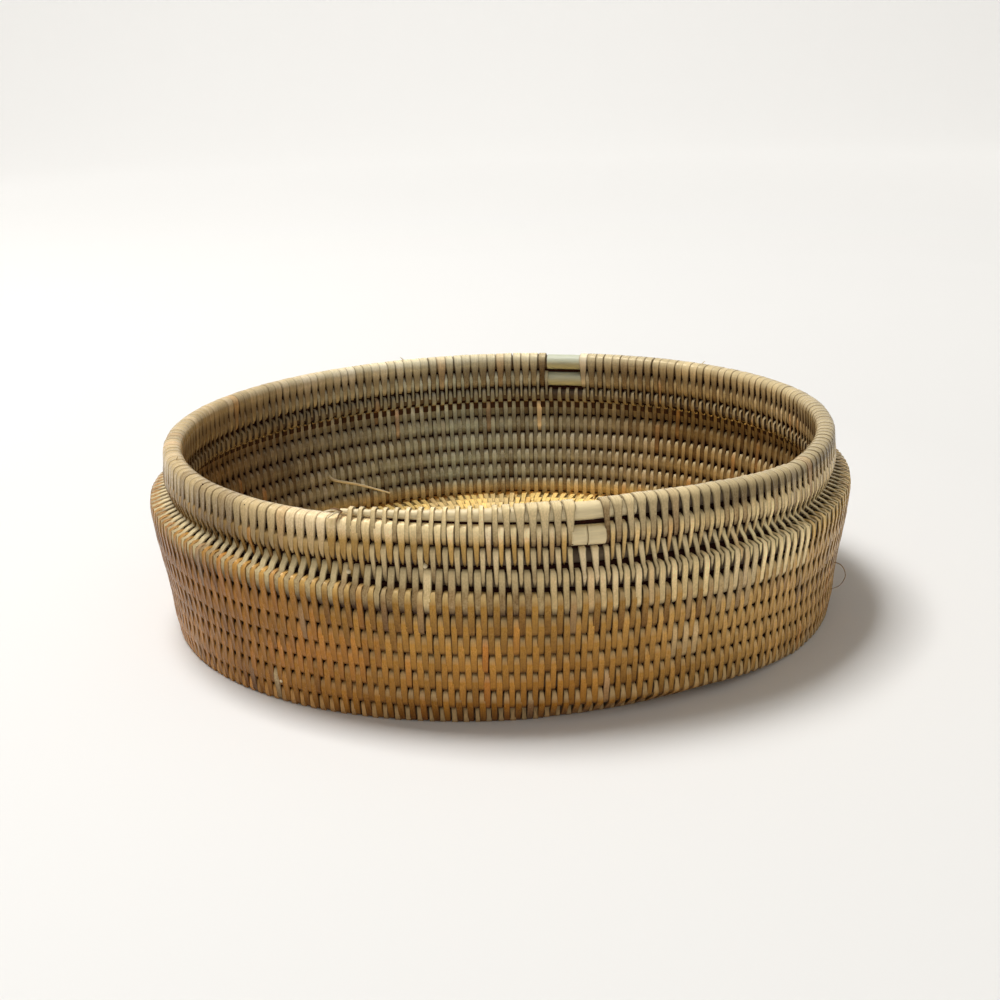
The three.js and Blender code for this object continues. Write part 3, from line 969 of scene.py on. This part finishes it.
def sew(context, name, slot, low, high, nodes):
    """The splints of all turns from low to high, as one piece."""
    splints = context.scene.basket_splints
    coil = Coil(context.scene.basket_coil)
    tree = bpy.data.node_groups.get("Sewn Splints") or splint_tree()
    piece = grown(name, splint_points(name, coil, splints, low, high), tree, {
        "Splint Thickness": splints.thickness, "Unevenness": splints.unevenness,
        "Seed": splints.seed + int(low * 7) % 97, "Material": finish(slot),
    })
    finish_piece(piece, nodes)


def lay(name, material, middle, radius, sides=10):
    """A round rod along a line of points, as thick at each as it says."""
    count = len(middle)
    source = point_mesh(name + "_line", middle, {"rod_radius": radius}, [(k, k + 1) for k in range(count - 1)])
    tree = bpy.data.node_groups.get("Foundation Rod") or rod_tree()
    piece = grown(name, source, tree, {"Sides": sides, "Material": finish(material)})
    finish_piece(piece)
    return piece


def stations(coil, low, high, step=2.4 * MM):
    run = coil.lengths(np.linspace(low, high, 400))[-1]
    return np.linspace(low, high, max(24, int(run / step)))


def lay_rod(context, name, slot, low, high, material, proud=0.02 * MM):
    """The foundation rod from one turn to another."""
    coil = Coil(context.scene.basket_coil)
    turns = stations(coil, low, high)
    radius = coil.rod(turns) / 2 - context.scene.basket_splints.thickness + proud
    radius = radius + fade(turns, BARE_ROD_START, BARE_ROD_SPAN) * BARE_ROD_PROUD
    return lay(name, material, coil.station(turns)[0], radius)


def pack_seam(context, name, low, high):
    """A thin dark strand in the seam between each turn and the one below: painted shade, so that the seam looks dark.
    """
    coil = Coil(context.scene.basket_coil)
    turns = stations(coil, max(low, coil.first + 1.02), high)
    above, below = coil.station(turns)[0], coil.station(turns - 1)[0]
    bare = (coil.rod(turns) + coil.rod(turns - 1)) / 2 - 2 * context.scene.basket_splints.thickness
    gap = np.linalg.norm(above - below, axis=1) - bare
    share_up = 0.5 + (coil.rod(turns - 1) - coil.rod(turns)) / 4 / np.linalg.norm(above - below, axis=1)
    middle = below + (above - below) * share_up[:, None]
    lay(name, "seam_shade", middle, gap / 2 + 0.42 * MM, 6)


class BASKET_OT_floor(bpy.types.Operator):
    """Sew the floor's spiral"""
    bl_idname = "basket.floor"
    bl_label = "Floor"

    def execute(self, context):
        coil = Coil(context.scene.basket_coil)
        nodes = sorted(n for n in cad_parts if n.startswith("floor_turn_"))
        sew(context, "floor_splints_inner", "floor_splint", coil.first, FLOOR_SPLIT, nodes[:10])
        sew(context, "floor_splints_outer", "floor_splint", FLOOR_SPLIT, 1 - coil.half, nodes[10:])
        lay_rod(context, "floor_rod", "bare_rod", coil.first, 1 - coil.half, "golden_rod")
        pack_seam(context, "floor_seam_shade_strand", coil.first, 1 - coil.half)
        return {"FINISHED"}


class BASKET_OT_wall(bpy.types.Operator):
    """Sew the wall's seven courses"""
    bl_idname = "basket.wall"
    bl_label = "Wall"

    def execute(self, context):
        coil = Coil(context.scene.basket_coil)
        start, split, end = 1 - coil.half, 5 - coil.half, LEDGE - coil.half
        names = [f"wall_course_{k}" for k in range(1, SHOULDER + 1)]
        sew(context, "wall_splints_lower", "wall_splint", start, split, names[:4])
        sew(context, "wall_splints_upper", "wall_splint", split, end, names[4:])
        lay_rod(context, "wall_rod", "bare_rod", start, end, "packed_rod")
        pack_seam(context, "wall_seam_shade_strand", start, end)
        return {"FINISHED"}


class BASKET_OT_collar(bpy.types.Operator):
    """Sew the ledge and collar courses and the rim with its tapered tail"""
    bl_idname = "basket.collar"
    bl_label = "Collar and Rim"

    def execute(self, context):
        coil = Coil(context.scene.basket_coil)
        start, rim = LEDGE - coil.half, RIM - coil.half
        sew(context, "ledge_collar_splints", "rim_splint", start, rim, ["ledge_course", "collar_course"])
        sew(context, "rim_splints", "rim_splint", rim, coil.last, ["rim_course"])
        lay_rod(context, "collar_rod", "bare_rod", start, rim, "packed_rod")
        lay_rod(context, "bare_patch_back", "bare_rod", *BARE_BACK_COLLAR, "weathered_rod", 0.30 * MM)
        lay_rod(context, "bare_patch_front", "bare_rod", *BARE_FRONT_COLLAR, "bare_rod", 0.22 * MM)
        pack_seam(context, "collar_seam_shade_strand", start, coil.last - 0.02)
        lay_rod(context, "rim_rod", "bare_rod", rim, RIM_ROD_END, "packed_rod")
        lay_rod(context, "bare_patch_rim", "bare_rod", *BARE_BACK_RIM, "weathered_rod", 0.22 * MM)
        tail = lay_rod(context, "rim_tail_rod", "bare_rod", TAIL_ROD_START, coil.last, "bare_rod")
        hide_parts("rim_tail")
        return {"FINISHED"}


def on_surface(coil, turn, degrees, proud=0.0):
    """A point over the rod's surface: degrees from straight out, up over the top."""
    middle, outward = coil.station(np.array([turn]))
    way = math.radians(degrees)
    reach = float(coil.rod(np.array([turn]))[0]) / 2 + proud
    return Vector(middle[0]) + reach * (math.cos(way) * Vector(outward[0]) + Vector((0, 0, math.sin(way))))


def eased(points, count):
    """A smooth line through a few points."""
    knots = np.array([tuple(p) for p in points])
    at = np.linspace(0, len(knots) - 1, count)
    k = np.clip(at.astype(int), 0, len(knots) - 2)
    t = (at - k)[:, None]
    before, after = knots[np.maximum(k - 1, 0)], knots[np.minimum(k + 2, len(knots) - 1)]
    a, b = knots[k], knots[k + 1]
    return 0.5 * (2 * a + (b - before) * t + (2 * before - 5 * a + 4 * b - after) * t ** 2
                  + (3 * a - before - 3 * b + after) * t ** 3)


def strand(name, material, points, radius):
    """A loose fibre through a few points, thinner towards its end."""
    line = eased(points, 8 * len(points))
    lay(name, material, line, radius * np.linspace(1.0, 0.45, len(line)), 6)


def bead(name, material, centre, radius):
    """A small bead: a knot, and in seam shade a dark dot of painted shade where the wraps part."""
    bend = np.linspace(-0.96, 0.96, 9)
    line = np.array([tuple(centre)]) + np.array([(0, 0, radius * b) for b in bend])
    lay(name, material, line, radius * np.sqrt(1 - bend ** 2), 8)


def plate(name, material, coil, turns, degrees, proud):
    """A flat scale of rattan that lies on the rod from one turn to another and from one angle to another."""
    spans = np.linspace(*turns, 9), np.linspace(*degrees, 7)
    outer, inner = ([tuple(on_surface(coil, t, a, lift)) for t in spans[0] for a in spans[1]]
                    for lift in (proud, proud - 0.35 * MM))
    rows, columns = len(spans[0]), len(spans[1])
    size = rows * columns
    faces = []
    for i in range(rows - 1):
        for j in range(columns - 1):
            a, b, c, d = i * columns + j, i * columns + j + 1, (i + 1) * columns + j + 1, (i + 1) * columns + j
            faces += [(a, b, c, d), (d + size, c + size, b + size, a + size)]
    ring = [*range(columns), *[k * columns + columns - 1 for k in range(1, rows)],
            *[size - 2 - k for k in range(columns - 1)], *[k * columns for k in range(rows - 2, 0, -1)]]
    faces += [(b, a, a + size, b + size) for a, b in zip(ring, ring[1:] + ring[:1])]
    mesh = bpy.data.meshes.new(name)
    mesh.from_pydata([*outer, *inner], [], faces)
    mesh.materials.append(finish(material))
    mesh.shade_smooth()
    finish_piece(add_piece(name, mesh))


class BASKET_OT_loose_ends(bpy.types.Operator):
    """Add the loose ends, knots, dark dots of painted shade and bare scales"""
    bl_idname = "basket.loose_ends"
    bl_label = "Loose Ends"

    def execute(self, context):
        coil = Coil(context.scene.basket_coil)
        tip = on_surface(coil, coil.last - 0.001, 20)
        for k, (end, radius, material) in enumerate((
                ((-3.4, -1.4, -1.0), 0.34, "pale_strand"), ((-2.6, -1.4, 1.2), 0.30, "brown_strand"),
                ((-4.4, -0.4, 0.2), 0.36, "pale_strand"), ((-1.4, -2.0, -2.0), 0.26, "brown_strand"))):
            end = tip + Vector(end) * MM
            middle = (tip + end) / 2 + Vector((0, -0.3, 0.5)) * MM
            strand(f"frayed_tip_{k + 1}", material, (tip, middle, end), radius * MM)
        strand("loose_splint_inside", "pale_strand",
               [Vector(p) * MM for p in ((-56.5, 66.5, 18.6), (-54.3, 63.0, 17.2), (-45.8, 64.5, 14.6),
                                         (-35.9, 65.5, 10.9))], 0.62 * MM)
        strand("fibre_at_side", "brown_strand",
               [Vector(p) * MM for p in ((90.6, -31.6, 18.6), (93.6, -31.8, 17.4), (95.0, -31.4, 14.0),
                                         (93.6, -30.4, 10.6), (90.4, -29.2, 8.9))], 0.16 * MM)
        for k, (turn, degrees, lean) in enumerate(((10.4667, 95, -0.6), (10.63, 100, 0.5), (10.20, 80, 0.4))):
            start = on_surface(coil, turn, degrees, -0.2 * MM)
            strand(f"fibre_at_rim_{k + 1}", "pale_strand",
                   (start, start + Vector((lean, 0, 1.0)) * MM, start + Vector((2.2 * lean, -0.4, 1.7)) * MM), 0.2 * MM)
        # The pale beads are knots; the seam shade beads are painted shade where the wraps part on the rim
        for k, (turn, degrees, radius, material) in enumerate((
                (8.0713, 12, 0.65, "pale_strand"), (9.0420, -46, 0.75, "pale_strand"),
                (2.1080, -20, 0.45, "pale_strand"), (10.1773, 62, 0.45, "seam_shade"),
                (10.1620, 60, 0.40, "seam_shade"), (10.1553, 66, 0.42, "seam_shade"),
                (10.1450, 58, 0.36, "seam_shade"), (10.1207, 44, 0.42, "seam_shade"))):
            bead(f"knot_{k + 1}", material, on_surface(coil, turn, degrees), radius * MM)
        for k, (turns, proud) in enumerate(zip(BARE_SCALES, (0.34 * MM, 0.38 * MM))):
            plate(f"bare_scale_collar_{k + 1}", "bare_rod", coil, turns, (-52, 62), proud)
        return {"FINISHED"}


class BASKET_OT_stage(bpy.types.Operator):
    """Set out the floor, the lamps and the camera"""
    bl_idname = "basket.stage"
    bl_label = "Stage"

    def execute(self, context):
        scene = context.scene
        stage = scene.basket_stage
        self.floor(stage)
        self.lamps(scene, stage)
        self.camera(scene, stage)
        scene.view_settings.view_transform = "Standard"
        return {"FINISHED"}

    def floor(self, stage):
        """A sheet that lies flat under the basket and curves up far behind it."""
        width, front, back, bend, height = 3.0, -1.2, 1.6, 0.5, 1.8
        glow_from, glow_over = 0.22, 0.9
        curve = [(front, 0.0), (back - bend, 0.0)]
        curve += [(back - bend + bend * math.sin(a), bend - bend * math.cos(a))
                  for a in np.linspace(0, math.pi / 2, 13)[1:]]
        curve.append((back, height))
        points = [(x, y, z) for y, z in curve for x in (-width, width)]
        faces = [(2 * k, 2 * k + 1, 2 * k + 3, 2 * k + 2) for k in range(len(curve) - 1)]
        mesh = bpy.data.meshes.new("floor_sheet")
        mesh.from_pydata(points, [], faces)
        mesh.shade_smooth()
        material, tree, shader = blank_material("floor_sheet")
        where, sideways, backward, _ = point_and_parts(tree)
        cloud = noise(tree, where, 6.0, 2.0)
        feed(tree, shader.inputs["Base Color"], mixed(tree, cloud, shade(stage.floor, 0.985), shade(stage.floor, 1.0)))
        shader.inputs["Roughness"].default_value = 0.8
        # Away from the lamps the sheet glows for the camera alone, so that it looks pale to its end
        away = (sideways * sideways + backward * backward).power(0.5)
        shader.inputs["Emission Color"].default_value = (*stage.floor, 1.0)
        feed(tree, shader.inputs["Emission Strength"], rising(away, glow_from, glow_over) * stage.glow * seen(tree))
        mesh.materials.append(material)
        add_piece("floor_sheet", mesh)

    def lamps(self, scene, stage):
        for name, power, size, place, target in (
                ("key_lamp", stage.key, 0.42, (-0.32, 0.14, 1.15), (0, 0, 0.02)),
                ("fill_lamp", stage.fill, 1.2, (0.5, -1.3, 0.8), (0, 0, 0.03))):
            lamp = bpy.data.lights.new(name, "AREA")
            lamp.energy, lamp.size = power, size
            holder = bpy.data.objects.new(name, lamp)
            scene.collection.objects.link(holder)
            holder.location = place
            holder.rotation_euler = (Vector(target) - Vector(place)).to_track_quat("-Z", "Y").to_euler()
        world = bpy.data.worlds.new("surroundings")
        scene.world = world
        world.use_nodes = True
        tree = world.node_tree
        background = tree.nodes["Background"]
        direct = seen(tree)
        feed(tree, background.inputs["Color"], mixed(tree, direct, (*stage.sky_colour, 1.0), (*stage.backdrop, 1.0)))
        feed(tree, background.inputs["Strength"], direct * (stage.backdrop_strength - stage.sky) + stage.sky)

    def camera(self, scene, stage):
        camera = bpy.data.cameras.new("camera")
        camera.lens, camera.sensor_width = stage.lens, 36.0
        camera.clip_start, camera.clip_end = 0.01, 20.0
        holder = bpy.data.objects.new("camera", camera)
        scene.collection.objects.link(holder)
        target = Vector(stage.look_at)
        level = math.cos(stage.elevation)
        back = Vector((-level * math.sin(stage.azimuth), -level * math.cos(stage.azimuth), math.sin(stage.elevation)))
        turn = back.to_track_quat("Z", "Y").to_matrix().to_4x4() @ Matrix.Rotation(-stage.roll, 4, "Z")
        holder.matrix_world = Matrix.Translation(target + back * stage.distance) @ turn
        scene.camera = holder


class BASKET_PT_sidebar(bpy.types.Panel):
    """The basket's pieces and sizes"""
    bl_idname = "BASKET_PT_sidebar"
    bl_label = "Rattan Basket"
    bl_space_type = "VIEW_3D"
    bl_region_type = "UI"
    bl_category = "Basket"

    def draw(self, context):
        layout = self.layout
        for operator in OPERATORS:
            layout.operator(operator.bl_idname)
        for group in (context.scene.basket_coil, context.scene.basket_splints, context.scene.basket_colours,
                      context.scene.basket_stage):
            box = layout.box()
            for name in group.__annotations__:
                box.prop(group, name)


OPERATORS = (BASKET_OT_floor, BASKET_OT_wall, BASKET_OT_collar, BASKET_OT_loose_ends, BASKET_OT_stage)
GROUPS = {"basket_coil": CoilSizes, "basket_splints": SplintSizes, "basket_colours": RattanColours,
          "basket_stage": StageSettings}
CLASSES = (*GROUPS.values(), *OPERATORS, BASKET_PT_sidebar)


def register():
    for cls in CLASSES:
        bpy.utils.register_class(cls)
    for name, group in GROUPS.items():
        setattr(bpy.types.Scene, name, PointerProperty(type=group))


def unregister():
    for name in GROUPS:
        delattr(bpy.types.Scene, name)
    for cls in reversed(CLASSES):
        bpy.utils.unregister_class(cls)


def main():
    register()
    bpy.ops.basket.stage()
    bpy.ops.basket.floor()
    bpy.ops.basket.wall()
    bpy.ops.basket.collar()
    bpy.ops.basket.loose_ends()
    bpy.context.view_layer.update()


if __name__ == "__main__":
    main()
